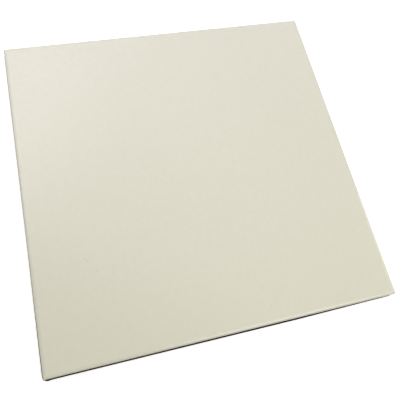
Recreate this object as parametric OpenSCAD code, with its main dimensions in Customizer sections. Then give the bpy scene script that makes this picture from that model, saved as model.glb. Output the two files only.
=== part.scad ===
// Square glazed ceramic floor tile, dry pressed and fired in one piece.
// It lies as it is laid: the face looks up along +Z, and the crests of the back's ribs stand on z = 0.
// The origin is the middle of the back. All sizes are in millimetres.

/* [Tile] */
// Length of each side
tile_side = 298; // [148:1:398]
// Whole thickness, from the crests of the ribs to the face
tile_thickness = 8; // [6:0.1:12]
// Radius of the four upright corners, seen from above
corner_radius = 1.2; // [0.4:0.1:2.5]

/* [Arris round the face] */
// How far in from the side the face starts to roll off
arris_width = 3; // [1.8:0.1:4.4]
// Radius of the wide arc that leaves the face
arris_face_radius = 5; // [4:0.1:12]
// Radius of the tight arc that runs into the side
arris_side_radius = 0.8; // [0.3:0.1:1.4]

/* [Back] */
// Width of the 45 degree chamfer where the sides meet the back
foot_chamfer = 0.8; // [0.3:0.1:1.5]
// Width of the plain margin between the outermost ribs and the sides
margin_width = 8; // [4:0.5:20]
// Height of the keying ribs over the floors of the pockets
rib_height = 0.8; // [0.4:0.1:1.5]
// Width of a rib's flat crest
rib_crest = 1.6; // [1:0.1:4]
// Draft of a rib's flanks, in degrees off the upright
rib_draft = 30; // [10:1:45]
// Distance aimed at between one rib and the next
rib_spacing = 20; // [14:0.5:40]

/* [Hidden] */
// Steps of a full circle in the preview's curves
$fn = 96;
// How far one shape runs into or past another, so that none only touch
overrun = 1;

// The two arcs of the arris cross at this slight angle, in degrees
arris_crease = 6;
// Distance between the centres of the two arcs
arc_centres = sqrt(
    pow(arris_face_radius, 2) + pow(arris_side_radius, 2)
    - 2 * arris_face_radius * arris_side_radius * cos(arris_crease)
);
// How far below the face the arris ends and the upright side starts
arris_drop = arris_face_radius - sqrt(pow(arc_centres, 2) - pow(arris_width - arris_side_radius, 2));
// How far in from the side the tight arc gives way to the wide one
arris_meet = arris_side_radius * (1 - (arris_width - arris_side_radius) / arc_centres);

// The floors of the pockets and the margin round them are the underside of the body
body_base = rib_height;
// A rib is wider at its foot than at its crest, by its draft on each flank
rib_flank = rib_height * tan(rib_draft);
rib_foot = rib_crest + 2 * rib_flank;
// Half the width of the ribbed field, at the feet of the outermost ribs
field_half = tile_side / 2 - margin_width;
// Distance from the middle rib to the outermost one
rib_reach = field_half - rib_foot / 2;
// A rib runs through the middle, and the ribs on each side of it come nearest to the spacing aimed at
ribs_each_side = max(1, round(rib_reach / rib_spacing));
rib_pitch = rib_reach / ribs_each_side;

// What the arris takes off a square edge whose corner is at the origin.
// X runs in from the side, and Y runs down from the face.
module arris_waste() {
    difference() {
        translate([-overrun, -overrun])
            square([overrun + arris_width, overrun + arris_drop]);
        intersection() {
            translate([arris_width, arris_face_radius])
                circle(r = arris_face_radius);
            union() {
                translate([arris_side_radius, arris_drop])
                    circle(r = arris_side_radius);
                translate([arris_meet, -overrun])
                    square([arris_width, overrun + arris_drop]);
            }
        }
    }
}

// What the chamfer takes off a square edge whose corner is at the origin
module chamfer_waste() {
    polygon([
        [-overrun, -overrun],
        [foot_chamfer + overrun, -overrun],
        [-overrun, foot_chamfer + overrun]
    ]);
}

// Section through the pressed body, from its underside to the face
module body_section() {
    difference() {
        translate([-tile_side / 2, body_base])
            square([tile_side, tile_thickness - body_base]);
        for (side = [0, 1])
            mirror([side, 0]) {
                translate([-tile_side / 2, tile_thickness])
                    mirror([0, 1])
                        arris_waste();
                translate([-tile_side / 2, body_base])
                    chamfer_waste();
            }
    }
}

// Stands a section up and runs it along Y
module run_along_y(length) {
    rotate([90, 0, 0])
        linear_extrude(length, center = true)
            children();
}

// Keeps what two equal runs at right angles share, so that their edges meet in mitres
module mitred(length) {
    intersection() {
        run_along_y(length)
            children();
        rotate([0, 0, 90])
            run_along_y(length)
                children();
    }
}

// Outline of the tile from above, a square with a small round at each corner
module outline() {
    straight = tile_side - 2 * corner_radius;
    square([tile_side, straight], center = true);
    square([straight, tile_side], center = true);
    for (x = [-1, 1], y = [-1, 1])
        translate([x * straight / 2, y * straight / 2])
            circle(r = corner_radius);
}

// The body with its arris, chamfer and upright corners, and a plain underside
module body() {
    intersection() {
        mitred(tile_side + 2 * overrun)
            body_section();
        linear_extrude(tile_thickness + overrun)
            outline();
    }
}

// Section through the field of the ribs as one block, with the draft of a rib at both ends
module field_section() {
    polygon([
        [-field_half + rib_flank, 0],
        [field_half - rib_flank, 0],
        [field_half, body_base],
        [field_half, body_base + overrun],
        [-field_half, body_base + overrun],
        [-field_half, body_base]
    ]);
}

// The block that the pockets are sunk into
module field_block() {
    mitred(2 * field_half + 2 * overrun)
        field_section();
}

// Sections of the channels between the ribs, which narrow with the draft towards their floors
module channel_sections() {
    mouth_half = (rib_pitch - rib_crest) / 2;
    floor_half = mouth_half - rib_flank;
    splay = overrun * tan(rib_draft);
    for (i = [-ribs_each_side : ribs_each_side - 1])
        translate([(i + 0.5) * rib_pitch, 0])
            polygon([
                [-floor_half, body_base],
                [floor_half, body_base],
                [mouth_half + splay, -overrun],
                [-mouth_half - splay, -overrun]
            ]);
}

// Square pockets for the adhesive, one wherever two channels would cross
module pockets() {
    mitred(2 * field_half)
        channel_sections();
}

// The whole tile, one piece of fired clay with its glaze
module tile() {
    color("#dfdccb")
        difference() {
            union() {
                body();
                field_block();
            }
            pockets();
        }
}

tile();
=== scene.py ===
"""Looks of a square floor tile: a satin cream glaze over a dry pressed body of buff clay."""

from collections import namedtuple
import math

import bpy
import numpy as np
from mathutils import Matrix, Vector, noise


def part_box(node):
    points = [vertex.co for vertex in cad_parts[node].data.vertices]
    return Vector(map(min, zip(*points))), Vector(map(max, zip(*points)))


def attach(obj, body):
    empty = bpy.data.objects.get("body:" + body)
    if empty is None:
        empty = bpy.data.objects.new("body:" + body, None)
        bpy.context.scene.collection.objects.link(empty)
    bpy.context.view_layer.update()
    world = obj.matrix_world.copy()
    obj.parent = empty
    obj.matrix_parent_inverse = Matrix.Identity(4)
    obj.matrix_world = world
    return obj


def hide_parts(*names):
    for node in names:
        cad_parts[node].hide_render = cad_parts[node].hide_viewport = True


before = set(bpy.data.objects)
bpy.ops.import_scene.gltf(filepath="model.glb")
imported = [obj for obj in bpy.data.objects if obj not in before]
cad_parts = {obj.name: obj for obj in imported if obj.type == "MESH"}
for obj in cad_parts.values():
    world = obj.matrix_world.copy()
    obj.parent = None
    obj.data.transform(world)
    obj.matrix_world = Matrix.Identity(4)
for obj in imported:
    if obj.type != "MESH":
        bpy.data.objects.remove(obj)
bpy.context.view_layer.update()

# The scene is in metres
MM = 0.001

# The tile's own sizes come from the frame
low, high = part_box("tile")
HALF_SIDE = (high.x - low.x) / 2
THICKNESS = high.z - low.z

# The rim, as on the solid
ARRIS_WIDTH = 3.0 * MM
ARRIS_FACE_RADIUS = 5.0 * MM
ARRIS_SIDE_RADIUS = 0.8 * MM
CORNER_RADIUS = 1.2 * MM
FOOT_CHAMFER = 0.8 * MM
# The corner of a ring that lies further in is tighter by this share of its inset, down to the least radius
CORNER_TIGHTENS = 0.25
LEAST_CORNER_RADIUS = 0.4 * MM

# The back, as on the solid
RIB_HEIGHT = 0.8 * MM
RIB_CREST = 1.6 * MM
RIB_DRAFT = math.radians(30)
RIB_SPACING = 20.0 * MM
MARGIN_WIDTH = 8.0 * MM
RIB_FOOT_HALF = RIB_CREST / 2 + RIB_HEIGHT * math.tan(RIB_DRAFT)
# How far the fillets of a rib reach past its flanks, onto the crest and onto the floor
RIB_FILLET = 0.2 * MM

# The glaze ends at this height on the side, and stands this far out from the clay below it
GLAZE_END = THICKNESS - 2.9 * MM
GLAZE_BUILD = 0.09 * MM
# Its edge wanders up and down by this much, in waves with a size, a seed and a share of the whole
GLAZE_WANDER = 0.45 * MM
GLAZE_WAVES = ((14 * MM, 1.7, 1.0), (4 * MM, 5.1, 0.5))
# Halfway up the glazed side and halfway down the clay the rings follow this share of the wander
HALFWAY_GLAZE_WANDER = 0.5
HALFWAY_CLAY_WANDER = 0.4
# Section of the glaze's edge: the share of its build that is gone, and the height above its end
GLAZE_EDGE = ((0.0, 0.22 * MM), (0.2, 0.12 * MM), (0.6, 0.05 * MM))
# The clay stays upright for this far below the glaze
CLAY_LEDGE = 0.3 * MM
# Section of the two rounded ends of the chamfer, as inset and height from its upper and its lower end
CHAMFER_TOP = ((0.0, 0.2 * MM), (0.05 * MM, 0.0), (0.15 * MM, -0.2 * MM))
CHAMFER_FOOT = ((-0.1 * MM, 0.15 * MM), (0.1 * MM, 0.03 * MM), (0.4 * MM, 0.0))

# Steps of the mesh along each arc of the arris, and round each upright corner
ARC_STEPS = 8
CORNER_STEPS = 6
# The grid of the face ends this far in from the side, and the grid of the back this far
FACE_INSET = ARRIS_WIDTH + 0.5 * MM
BACK_INSET = 2.4 * MM
# Rows of the back's grid on each flank of a rib, from the edge of its crest outwards
FLANK_ROWS = (-0.25 * MM, 0.05 * MM, 0.35 * MM, 0.7 * MM)
# Rows of the back's grid on the floor between two ribs, as shares of the way
FLOOR_ROWS = (0.36, 0.64)


def smooth(t):
    """0 below 0, 1 above 1, and an even S between them."""
    t = np.clip(t, 0.0, 1.0)
    return t * t * (3 - 2 * t)


def place_in_scene(name, data):
    thing = bpy.data.objects.new(name, data)
    bpy.context.scene.collection.objects.link(thing)
    return thing


# The back: rows of points across the ribs, and how high it stands at each


def rib_places():
    reach = HALF_SIDE - MARGIN_WIDTH - RIB_FOOT_HALF
    each_side = round(reach / RIB_SPACING)
    return [reach * i / each_side for i in range(-each_side, each_side + 1)]


def back_rows():
    """Places of the rows of points from one side of the back to the other."""
    flank = [RIB_CREST / 2 + step for step in FLANK_ROWS]
    ribs = rib_places()
    pitch = ribs[1] - ribs[0]
    rows = []
    for rib in ribs:
        rows += [rib - step for step in flank] + [rib + step for step in flank]
    for left in ribs[:-1]:
        rows += [left + pitch * share for share in FLOOR_ROWS]
    edge = HALF_SIDE - BACK_INSET
    margin_middle = (edge + ribs[-1] + flank[-1]) / 2
    rows += [-edge, -margin_middle, margin_middle, edge]
    return np.array(sorted(rows))


def rib_share(place):
    """1 on the crest of a rib that runs past this place, and 0 on the floor of a pocket."""
    crest_end = RIB_CREST / 2 - RIB_FILLET
    foot_end = RIB_FOOT_HALF + RIB_FILLET
    nearest = np.min(np.abs(place[..., None] - np.array(rib_places())), axis=-1)
    return 1 - smooth((nearest - crest_end) / (foot_end - crest_end))


def back_height(x, y):
    """The ribs run into one another and into the floors of the pockets with small fillets."""
    field_edge = HALF_SIDE - MARGIN_WIDTH + RIB_FILLET
    inside = (np.abs(x) < field_edge) & (np.abs(y) < field_edge)
    ribs = 1 - (1 - rib_share(x)) * (1 - rib_share(y))
    return RIB_HEIGHT * (1 - np.where(inside, ribs, 0.0))


def face_height(x, y):
    return np.full_like(x, THICKNESS)


# The rim: rings of points from the face to the back

# The mesh's materials, by number
GLAZE, CLAY = 0, 1
# A ring's wander is the share of the glaze edge's wander that it follows.
# Its look is the material between it and the ring before it.
Ring = namedtuple("Ring", "inset height wander look")


def arris_points():
    """Inset from the side and drop below the face, from where the face ends to where the side starts."""
    slope = math.asin((ARRIS_WIDTH - ARRIS_SIDE_RADIUS) / (ARRIS_FACE_RADIUS - ARRIS_SIDE_RADIUS))
    points = []
    for i in range(ARC_STEPS + 1):
        angle = slope * i / ARC_STEPS
        inset = ARRIS_WIDTH - ARRIS_FACE_RADIUS * math.sin(angle)
        points.append((inset, ARRIS_FACE_RADIUS * (1 - math.cos(angle))))
    centre_drop = ARRIS_FACE_RADIUS - (ARRIS_FACE_RADIUS - ARRIS_SIDE_RADIUS) * math.cos(slope)
    for i in range(1, ARC_STEPS + 1):
        angle = slope + (math.pi / 2 - slope) * i / ARC_STEPS
        inset = ARRIS_SIDE_RADIUS * (1 - math.sin(angle))
        points.append((inset, centre_drop - ARRIS_SIDE_RADIUS * math.cos(angle)))
    return points


def glazed_rings():
    """Rings from the edge of the face over the arris and down to the edge of the glaze."""
    rings = [Ring(inset, THICKNESS - drop, 0.0, GLAZE) for inset, drop in arris_points()]
    halfway = (rings[-1].height + GLAZE_END) / 2
    rings.append(Ring(0.0, halfway, HALFWAY_GLAZE_WANDER, GLAZE))
    rings += [Ring(gone * GLAZE_BUILD, GLAZE_END + rise, 1.0, GLAZE) for gone, rise in GLAZE_EDGE]
    return rings


def clay_rings():
    """Rings from the edge of the glaze down the clay and round the chamfer to the margin of the back."""
    chamfer_top = RIB_HEIGHT + FOOT_CHAMFER
    halfway = (GLAZE_END + chamfer_top) / 2
    rings = [
        Ring(GLAZE_BUILD, GLAZE_END, 1.0, CLAY),
        Ring(GLAZE_BUILD, GLAZE_END - CLAY_LEDGE, 1.0, CLAY),
        Ring(GLAZE_BUILD, halfway, HALFWAY_CLAY_WANDER, CLAY),
    ]
    rings += [Ring(GLAZE_BUILD + inset, chamfer_top + rise, 0.0, CLAY) for inset, rise in CHAMFER_TOP]
    rings += [Ring(FOOT_CHAMFER + inset, RIB_HEIGHT + rise, 0.0, CLAY) for inset, rise in CHAMFER_FOOT]
    return rings


def ring_outline(half, radius, shares):
    """Points round a square with round corners, anticlockwise from the front left, seen from above.

    shares run from -1 to 1 and place the points of each straight side.
    """
    straight = half - radius
    side = [(share * straight, -half) for share in shares]
    for i in range(1, CORNER_STEPS):
        angle = -math.pi / 2 + (math.pi / 2) * i / CORNER_STEPS
        side.append((straight + radius * math.cos(angle), -straight + radius * math.sin(angle)))
    points = []
    for cos, sin in ((1, 0), (0, 1), (-1, 0), (0, -1)):
        points += [(x * cos - y * sin, x * sin + y * cos) for x, y in side]
    return points


def edge_wave(x, y):
    """How far the glaze's edge lies above its mean height here, as a share of its wander."""
    return sum(share * noise.noise(Vector((x / size, y / size, seed))) for size, seed, share in GLAZE_WAVES)


def ring_points(ring, shares):
    radius = max(CORNER_RADIUS - CORNER_TIGHTENS * ring.inset, LEAST_CORNER_RADIUS)
    outline = ring_outline(HALF_SIDE - ring.inset, radius, shares)
    wander = ring.wander * GLAZE_WANDER
    return [(x, y, ring.height + wander * edge_wave(x, y)) for x, y in outline]


# The mesh: two grids, and the bands between the rings


def grid_points(rows, height):
    """Points where the rows cross, from the front left, at the height that a function of x and y gives."""
    x, y = np.meshgrid(rows, rows)
    return list(zip(x.ravel(), y.ravel(), height(x, y).ravel()))


def grid_ring(first, count):
    """Indices of a grid's outer points, in ring_outline's order.

    Each corner is repeated, to pair with the points that ring_outline has round its own corner.
    """
    last = count - 1
    sides = [
        [(i, 0) for i in range(count)],
        [(last, i) for i in range(count)],
        [(last - i, last) for i in range(count)],
        [(0, last - i) for i in range(count)],
    ]
    ring = []
    for side in sides:
        ring += side + [side[-1]] * (CORNER_STEPS - 1)
    return [first + j * count + i for i, j in ring]


def grid_faces(first, count, upward):
    faces = []
    for j in range(count - 1):
        for i in range(count - 1):
            corner = first + j * count + i
            face = (corner, corner + 1, corner + count + 1, corner + count)
            faces.append(face if upward else face[::-1])
    return faces


def band_faces(upper, lower):
    """Faces between two rings, with a triangle wherever the points of one ring fall together."""
    faces = []
    for k in range(len(upper)):
        after = (k + 1) % len(upper)
        face = []
        for point in (upper[k], lower[k], lower[after], upper[after]):
            if point not in face:
                face.append(point)
        if len(face) > 2:
            faces.append(tuple(face))
    return faces


def tile_skin():
    """Points and faces of the whole tile, closed all round, and the material of each face."""
    rows = back_rows()
    count = len(rows)
    face_edge = HALF_SIDE - FACE_INSET
    face_rows = np.linspace(-face_edge, face_edge, count)
    face_shares = face_rows / face_edge
    back_shares = rows / rows[-1]

    points = grid_points(face_rows, face_height)
    faces = grid_faces(0, count, True)
    looks = [GLAZE] * len(faces)
    above = grid_ring(0, count)

    # From ring to ring the points move from the spacing of the face's grid to that of the back's
    rings = glazed_rings() + clay_rings()
    for k, ring in enumerate(rings):
        blend = smooth(k / (len(rings) - 1))
        first = len(points)
        points += ring_points(ring, face_shares * (1 - blend) + back_shares * blend)
        below = list(range(first, len(points)))
        band = band_faces(above, below)
        faces += band
        looks += [ring.look] * len(band)
        above = below

    first = len(points)
    points += grid_points(rows, back_height)
    back = band_faces(above, grid_ring(first, count)) + grid_faces(first, count, False)
    return points, faces + back, looks + [CLAY] * len(back)


def fired_tile(glaze, clay):
    points, faces, looks = tile_skin()
    mesh = bpy.data.meshes.new("fired_tile")
    mesh.from_pydata(points, [], faces)
    mesh.materials.append(glaze)
    mesh.materials.append(clay)
    mesh.polygons.foreach_set("material_index", looks)
    mesh.polygons.foreach_set("use_smooth", [True] * len(faces))
    mesh.validate()
    mesh.update()
    piece = place_in_scene("fired_tile", mesh)
    piece.modifiers.new("even_normals", "WEIGHTED_NORMAL")
    return piece


# Helpers for the materials

# The noise keeps within the wide span nearly everywhere, and within the narrow one mostly
WIDE = (0.3, 0.7)
NARROW = (0.35, 0.65)


def add(tree, kind, inputs=None, **settings):
    """Adds a node, with its settings and with each input set to a value or linked to a socket."""
    node = tree.nodes.new(kind)
    for name, value in settings.items():
        setattr(node, name, value)
    for name, value in (inputs or {}).items():
        if isinstance(value, bpy.types.NodeSocket):
            tree.links.new(value, node.inputs[name])
        else:
            node.inputs[name].default_value = value
    return node


def sums(tree, operation, a, b=0.0):
    """One step of arithmetic, named as Blender names it."""
    return add(tree, "ShaderNodeMath", {0: a, 1: b}, operation=operation).outputs[0]


def spread(tree, value, from_low, from_high, to_low, to_high):
    """Maps one range of a value onto another, and stops at its ends."""
    inputs = {
        "Value": value,
        "From Min": from_low,
        "From Max": from_high,
        "To Min": to_low,
        "To Max": to_high,
    }
    return add(tree, "ShaderNodeMapRange", inputs).outputs["Result"]


def grains(tree, place, scale, detail, roughness=0.5):
    """Soft noise with this many bumps to a metre."""
    inputs = {"Vector": place, "Scale": scale, "Detail": detail, "Roughness": roughness}
    return add(tree, "ShaderNodeTexNoise", inputs).outputs["Fac"]


def blended(tree, share, a, b):
    """A colour between two others."""
    node = add(tree, "ShaderNodeMix", {0: share, 6: a, 7: b}, data_type="RGBA")
    return node.outputs[2]


def colour(red, green, blue):
    """A colour written as a screen shows it, in 0 to 255, turned into light by the sRGB curve.

    The curve's straight start is left out, as it is only for near black.
    """
    return tuple(((c / 255 + 0.055) / 1.055) ** 2.4 for c in (red, green, blue)) + (1.0,)


def mottled(tree, place, tone, other, share, scale, detail, span):
    """Another colour over a tone in soft patches, up to this share, with this many bumps to a metre."""
    patches = spread(tree, grains(tree, place, scale, detail), *span, 0.0, share)
    return blended(tree, patches, tone, other)


def sprinkled(tree, place, tone, scale, empty, radii, strength, speck):
    """Specks of another colour over a tone, one in each cell of space that isn't left empty.

    There are scale cells to a metre. empty is the share of them without a speck. A speck has its full
    strength out to the first radius and is gone at the second, and both are shares of a cell.
    """
    cells = add(tree, "ShaderNodeTexVoronoi", {"Vector": place, "Scale": scale})
    draw = add(tree, "ShaderNodeSeparateColor", {0: cells.outputs["Color"]}).outputs[0]
    chosen = sums(tree, "GREATER_THAN", draw, empty)
    dot = spread(tree, cells.outputs["Distance"], *radii, strength, 0.0)
    return blended(tree, sums(tree, "MULTIPLY", dot, chosen), tone, speck)


def bumps(tree, height, depth, strength):
    """Normals of a surface that stands this depth higher where the height is 1 than where it is 0."""
    inputs = {"Height": height, "Distance": depth, "Strength": strength}
    return add(tree, "ShaderNodeBump", inputs).outputs["Normal"]


def whereabouts(tree):
    """Where each point is, measured from the middle of the tile's back."""
    return add(tree, "ShaderNodeTexCoord").outputs["Object"]


def across_and_along(tree, place):
    """The x and the y of a place."""
    return add(tree, "ShaderNodeSeparateXYZ", {0: place}).outputs[:2]


def new_material(name):
    material = bpy.data.materials.new(name)
    material.use_nodes = True
    material.node_tree.nodes.clear()
    return material, material.node_tree


def finish_material(tree, tone, roughness, refraction, normal):
    inputs = {"Base Color": tone, "Roughness": roughness, "IOR": refraction, "Normal": normal}
    shader = add(tree, "ShaderNodeBsdfPrincipled", inputs)
    add(tree, "ShaderNodeOutputMaterial", {"Surface": shader.outputs[0]})


# The glaze

# Its cream is a little bluer towards the back of the tile. This tint is painted light: it stands in for the
# whiter light on the back of the face and the warmer light on its front.
CREAM_FRONT = colour(222, 219, 197.5)
CREAM_BACK = colour(222, 219, 206.5)
# Broad clouds and a fine mottle in it
CLOUDS = {"other": colour(218, 214, 197), "share": 0.15, "scale": 14, "detail": 3, "span": WIDE}
MOTTLE = {"other": colour(218, 214, 196), "share": 0.4, "scale": 220, "detail": 3, "span": NARROW}
# It gets thin towards the outer end of the arris, from the first inset to the second,
# where this share of it has the warmer colour of the clay that shows through.
# This darker rim is partly painted shade too: it stands in for the shade at the outer end of the rim.
THIN_GLAZE_AND_SHADE = colour(203, 194, 172)
THIN_GLAZE_AND_SHADE_SHARE = 0.6
THIN_GLAZE_AND_SHADE_INSETS = (1.3 * MM, 0.5 * MM)
# Specks all over the glaze, at random
GLAZE_SPECKS = {
    "scale": 210,
    "empty": 0.975,
    "radii": (0.04, 0.1),
    "strength": 0.5,
    "speck": colour(176, 163, 132),
}
# The iron specks that stand out on the face: x and y in mm, and how strong each is
FACE_SPECKS = (
    (-105.9, -64.9, 0.42),
    (-104.2, -67.0, 0.3),
    (-98.0, -77.0, 0.25),
    (33.0, -118.9, 0.32),
    (36.1, -135.2, 0.27),
    (44.2, -52.3, 0.2),
)
FACE_SPECK = colour(168, 152, 120)
FACE_SPECK_RADIUS = 1.0 * MM
# How rough the face is, in its smoothest and its roughest patches
FACE_ROUGHNESS = (0.28, 0.31)
ROUGH_PATCHES = {"scale": 45, "detail": 3}
# The glaze is smoother over the arris: it starts to change at the first inset, and has changed at the second
ARRIS_ROUGHNESS = 0.18
ARRIS_INSETS = (ARRIS_WIDTH, 0.8 * ARRIS_WIDTH)
# Its surface is never quite level: it has waves, and a grain with this share of their height
WAVES = {"scale": 330, "detail": 2}
GRAIN = {"scale": 2600, "detail": 2, "roughness": 0.6}
GRAIN_SHARE = 0.12
GLAZE_BUMP_DEPTH = 0.06 * MM
GLAZE_BUMP_STRENGTH = 0.25
GLAZE_REFRACTION = 1.5


def glaze_tone(tree, place, along):
    """Cream with clouds and mottle, and a painted tint of the light that turns bluer from the front of the
    tile to its back.
    """
    way_back = spread(tree, along, -HALF_SIDE, HALF_SIDE, 0.0, 1.0)
    tone = blended(tree, way_back, CREAM_FRONT, CREAM_BACK)
    tone = mottled(tree, place, tone, **CLOUDS)
    return mottled(tree, place, tone, **MOTTLE)


def with_face_specks(tree, place, tone):
    for x, y, strength in FACE_SPECKS:
        ends = {0: place, 1: (x * MM, y * MM, THICKNESS)}
        away = add(tree, "ShaderNodeVectorMath", ends, operation="DISTANCE").outputs["Value"]
        tone = blended(tree, spread(tree, away, 0.0, FACE_SPECK_RADIUS, strength, 0.0), tone, FACE_SPECK)
    return tone


def nearing_side(tree, outwards, insets, share):
    """Rises from 0 at the first inset from the side to this share at the second."""
    start, end = (HALF_SIDE - inset for inset in insets)
    return spread(tree, outwards, start, end, 0.0, share)


def glaze_roughness(tree, place, outwards):
    """Rough in patches over the face, and smoother over the arris."""
    face = spread(tree, grains(tree, place, **ROUGH_PATCHES), *WIDE, *FACE_ROUGHNESS)
    on_arris = nearing_side(tree, outwards, ARRIS_INSETS, 1.0)
    change = sums(tree, "SUBTRACT", ARRIS_ROUGHNESS, face)
    return sums(tree, "ADD", face, sums(tree, "MULTIPLY", on_arris, change))


def satin_glaze():
    """Cream glaze: clouds of colour with a painted tint of the light, a few specks, thin at the end of the
    arris with painted shade there, and a soft gloss.
    """
    material, tree = new_material("satin_glaze")
    place = whereabouts(tree)
    across, along = across_and_along(tree, place)
    outwards = sums(tree, "MAXIMUM", sums(tree, "ABSOLUTE", across), sums(tree, "ABSOLUTE", along))

    tone = glaze_tone(tree, place, along)
    tone = sprinkled(tree, place, tone, **GLAZE_SPECKS)
    tone = with_face_specks(tree, place, tone)
    # The glaze thins here, and the darker rim is also painted shade
    tone = blended(tree, nearing_side(tree, outwards, THIN_GLAZE_AND_SHADE_INSETS, THIN_GLAZE_AND_SHADE_SHARE), tone, THIN_GLAZE_AND_SHADE)

    waves = grains(tree, place, **WAVES)
    grain = sums(tree, "MULTIPLY", grains(tree, place, **GRAIN), GRAIN_SHARE)
    normal = bumps(tree, sums(tree, "ADD", waves, grain), GLAZE_BUMP_DEPTH, GLAZE_BUMP_STRENGTH)
    finish_material(tree, tone, glaze_roughness(tree, place, outwards), GLAZE_REFRACTION, normal)
    return material


# The clay

# It changes in clouds from one buff to the other
DARK_BUFF = colour(196, 172, 138)
PALE_BUFF = colour(209, 188, 157)
BUFF_CLOUDS = {"scale": 30, "detail": 4}
SAND = {"other": colour(226, 211, 186), "share": 0.5, "scale": 1500, "detail": 2, "span": NARROW}
IRON_SPECKS = {
    "scale": 420,
    "empty": 0.86,
    "radii": (0.06, 0.16),
    "strength": 0.7,
    "speck": colour(128, 92, 62),
}
CLAY_ROUGHNESS = (0.82, 0.92)
# Its surface has a fine tooth, and broader waves of the same height
TOOTH = {"scale": 1800, "detail": 3, "roughness": 0.6}
SWELL = {"scale": 260, "detail": 2}
CLAY_BUMP_DEPTH = 0.2 * MM
CLAY_BUMP_STRENGTH = 0.6
CLAY_REFRACTION = 1.45


def bare_clay():
    """Buff fired clay: clouds of colour, sandy grain and dark iron specks."""
    material, tree = new_material("bare_clay")
    place = whereabouts(tree)

    clouds = spread(tree, grains(tree, place, **BUFF_CLOUDS), *WIDE, 0.0, 1.0)
    tone = blended(tree, clouds, DARK_BUFF, PALE_BUFF)
    tone = mottled(tree, place, tone, **SAND)
    tone = sprinkled(tree, place, tone, **IRON_SPECKS)

    tooth = grains(tree, place, **TOOTH)
    swell = grains(tree, place, **SWELL)
    normal = bumps(tree, sums(tree, "ADD", tooth, swell), CLAY_BUMP_DEPTH, CLAY_BUMP_STRENGTH)
    roughness = spread(tree, clouds, 0.0, 1.0, *CLAY_ROUGHNESS)
    finish_material(tree, tone, roughness, CLAY_REFRACTION, normal)
    return material


# The background

WHITE = (1.0, 1.0, 1.0, 1.0)
# How bright the surroundings are as light on the object, and where the camera sees them
AMBIENT = 0.2
SEEN_BEHIND = 1.0


def seen_directly(tree):
    """1 for what the camera sees, also in a reflection or through glass, and 0 for light on the object."""
    rays = add(tree, "ShaderNodeLightPath")
    seen = sums(tree, "MAXIMUM", rays.outputs["Is Camera Ray"], rays.outputs["Is Glossy Ray"])
    return sums(tree, "MAXIMUM", seen, rays.outputs["Is Transmission Ray"])


def background():
    world = bpy.data.worlds.new("studio")
    world.use_nodes = True
    tree = world.node_tree
    tree.nodes.clear()
    strength = spread(tree, seen_directly(tree), 0.0, 1.0, AMBIENT, SEEN_BEHIND)
    light = add(tree, "ShaderNodeBackground", {"Color": WHITE, "Strength": strength})
    add(tree, "ShaderNodeOutputWorld", {"Surface": light.outputs[0]})
    bpy.context.scene.world = world


# The floor

FLOOR_HALF = 4.0
OPEN_FLOOR = (0.9, 0.9, 0.9, 1.0)
# Painted shadow: the floor's colour turns this dark in a line round the tile's foot
PAINTED_CONTACT_SHADOW = (0.02, 0.015, 0.01, 1.0)
# How much of the sky is open at each place on the floor, as far as this reach tells
CONTACT_REACH = 3.0 * MM
CONTACT_SAMPLES = 128
# The painted contact shadow round the foot of the tile is full up to the first open share, and gone from the
# second on
CONTACT_SHARES = (0.77, 0.80)
# What is added to the open share: more makes the painted shadow line thinner, and less makes it thicker.
# Each pair holds at the two ends of a stretch, and these two stretches run from left to right.
LEFT_HALF_CHANGE = (0.025, -0.02)
LEFT_HALF_ENDS = (-HALF_SIDE, 45 * MM)
RIGHT_HALF_CHANGE = (0.0, 0.17)
RIGHT_HALF_ENDS = (60 * MM, HALF_SIDE + 1.0 * MM)
# This is for the painted shadow line past the left side, from its front end backwards
LEFT_SIDE_CHANGE = (-0.13, -0.07)
LEFT_SIDE_ENDS = (-HALF_SIDE, -45 * MM)
# This is for the left end of the painted shadow line past the front side, from the corner to the right
CORNER_CHANGE = (-0.1, 0.0)
CORNER_ENDS = (-HALF_SIDE, -HALF_SIDE + 6.0 * MM)
# The change past a side comes in over this distance
COME_IN = 0.3 * MM
# What the floor shows the camera on top of the light that falls on it, at these distances from its middle
FLOOR_LIFT = (0.5, 1.0)
FLOOR_LIFT_REACH = (0.3, 1.2)


def past_side(tree, axis, change):
    """A change that holds only on the floor past the tile's side at the negative end of an axis."""
    past = spread(tree, axis, -HALF_SIDE - COME_IN, -HALF_SIDE, 1.0, 0.0)
    return sums(tree, "MULTIPLY", past, change)


def clear_of_painted_shadow(tree, across, along):
    """0 in the painted shadow line round the foot of the tile, and 1 on the rest of the floor."""
    reach = {"Distance": CONTACT_REACH}
    sky = add(tree, "ShaderNodeAmbientOcclusion", reach, samples=CONTACT_SAMPLES).outputs["AO"]
    sky = sums(tree, "ADD", sky, spread(tree, across, *LEFT_HALF_ENDS, *LEFT_HALF_CHANGE))
    sky = sums(tree, "ADD", sky, spread(tree, across, *RIGHT_HALF_ENDS, *RIGHT_HALF_CHANGE))
    left_side = past_side(tree, across, spread(tree, along, *LEFT_SIDE_ENDS, *LEFT_SIDE_CHANGE))
    corner = past_side(tree, along, spread(tree, across, *CORNER_ENDS, *CORNER_CHANGE))
    sky = sums(tree, "ADD", sky, sums(tree, "MINIMUM", left_side, corner))
    return spread(tree, sky, *CONTACT_SHARES, 0.0, 1.0)


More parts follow.
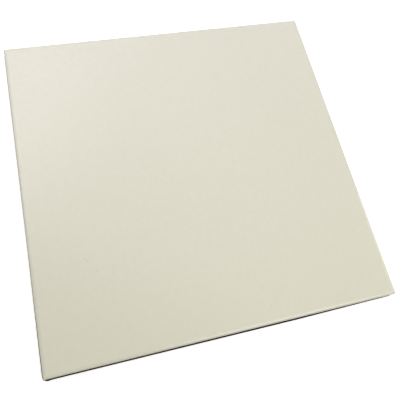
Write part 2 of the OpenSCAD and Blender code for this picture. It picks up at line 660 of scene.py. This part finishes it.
def pale_floor():
    """A floor that reads as white, keeps the tile's shadow, and has a painted contact shadow as a dark line
    round its foot.
    """
    material, tree = new_material("pale_floor")
    place = whereabouts(tree)
    across, along = across_and_along(tree, place)
    clear = clear_of_painted_shadow(tree, across, along)
    # The floor's colour is darkened here to paint the contact shadow
    pale = add(tree, "ShaderNodeBsdfDiffuse", {"Color": blended(tree, clear, PAINTED_CONTACT_SHADOW, OPEN_FLOOR)})
    away = add(tree, "ShaderNodeVectorMath", {0: place}, operation="LENGTH").outputs["Value"]
    lift = spread(tree, away, *FLOOR_LIFT_REACH, *FLOOR_LIFT)
    lift = sums(tree, "MULTIPLY", lift, sums(tree, "MULTIPLY", clear, seen_directly(tree)))
    white = add(tree, "ShaderNodeEmission", {"Color": WHITE, "Strength": lift})
    surface = add(tree, "ShaderNodeAddShader", {0: pale.outputs[0], 1: white.outputs[0]})
    add(tree, "ShaderNodeOutputMaterial", {"Surface": surface.outputs[0]})
    return material


def floor():
    corners = [(-1, -1), (1, -1), (1, 1), (-1, 1)]
    mesh = bpy.data.meshes.new("floor")
    mesh.from_pydata([(FLOOR_HALF * x, FLOOR_HALF * y, 0.0) for x, y in corners], [], [(0, 1, 2, 3)])
    mesh.materials.append(pale_floor())
    place_in_scene("floor", mesh)


# The lights and the camera

# Each light: name, place, what it points at, width and length, and how bright its surface is
LIGHTS = (
    ("window", (0.19, 0.31, 0.88), (0.93, -0.09, 0.0), 0.75, 1.81, 1.13),
    ("sheen", (-0.55, 0.7, 1.25), (-0.1, 0.1, 0.0), 1.09, 0.34, 2.72),
    ("side", (0.87, -0.07, 0.5), (0.1, -0.1, 0.0), 0.47, 0.47, 2.14),
    ("fill", (0.95, -1.38, 2.4), (0.12, -0.12, 0.0), 1.6, 1.6, 3.73),
)

# Where the camera stood over the tile, what it looked at, and how far it was turned about its axis
CAMERA_PLACE = Vector((-82.0, -155.9, 379.6)) * MM
CAMERA_AIM = Vector((-0.7, -32.7, 8.0)) * MM
CAMERA_ROLL = math.radians(-21.31)
CAMERA_NEAREST = 10 * MM
LENS_MM = 40.75
SENSOR_MM = 36.0


def lights():
    for name, place, aim, width, length, brightness in LIGHTS:
        lamp = bpy.data.lights.new(name, "AREA")
        lamp.shape = "RECTANGLE"
        lamp.size = width
        lamp.size_y = length
        lamp.energy = brightness * math.pi * width * length
        lit = place_in_scene(name, lamp)
        lit.location = place
        lit.rotation_euler = (Vector(aim) - Vector(place)).to_track_quat("-Z", "Y").to_euler()


def camera():
    lens = bpy.data.cameras.new("camera")
    lens.lens = LENS_MM
    lens.sensor_width = SENSOR_MM
    lens.clip_start = CAMERA_NEAREST
    forward = (CAMERA_AIM - CAMERA_PLACE).normalized()
    level = forward.to_track_quat("-Z", "Y").to_matrix()
    turned = Matrix.Rotation(CAMERA_ROLL, 3, forward) @ level
    view = place_in_scene("camera", lens)
    view.matrix_world = Matrix.Translation(CAMERA_PLACE) @ turned.to_4x4()
    bpy.context.scene.camera = view


camera()
background()
floor()
lights()

tile = fired_tile(satin_glaze(), bare_clay())
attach(tile, "root")
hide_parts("tile")

bpy.context.scene.view_settings.view_transform = "Standard"
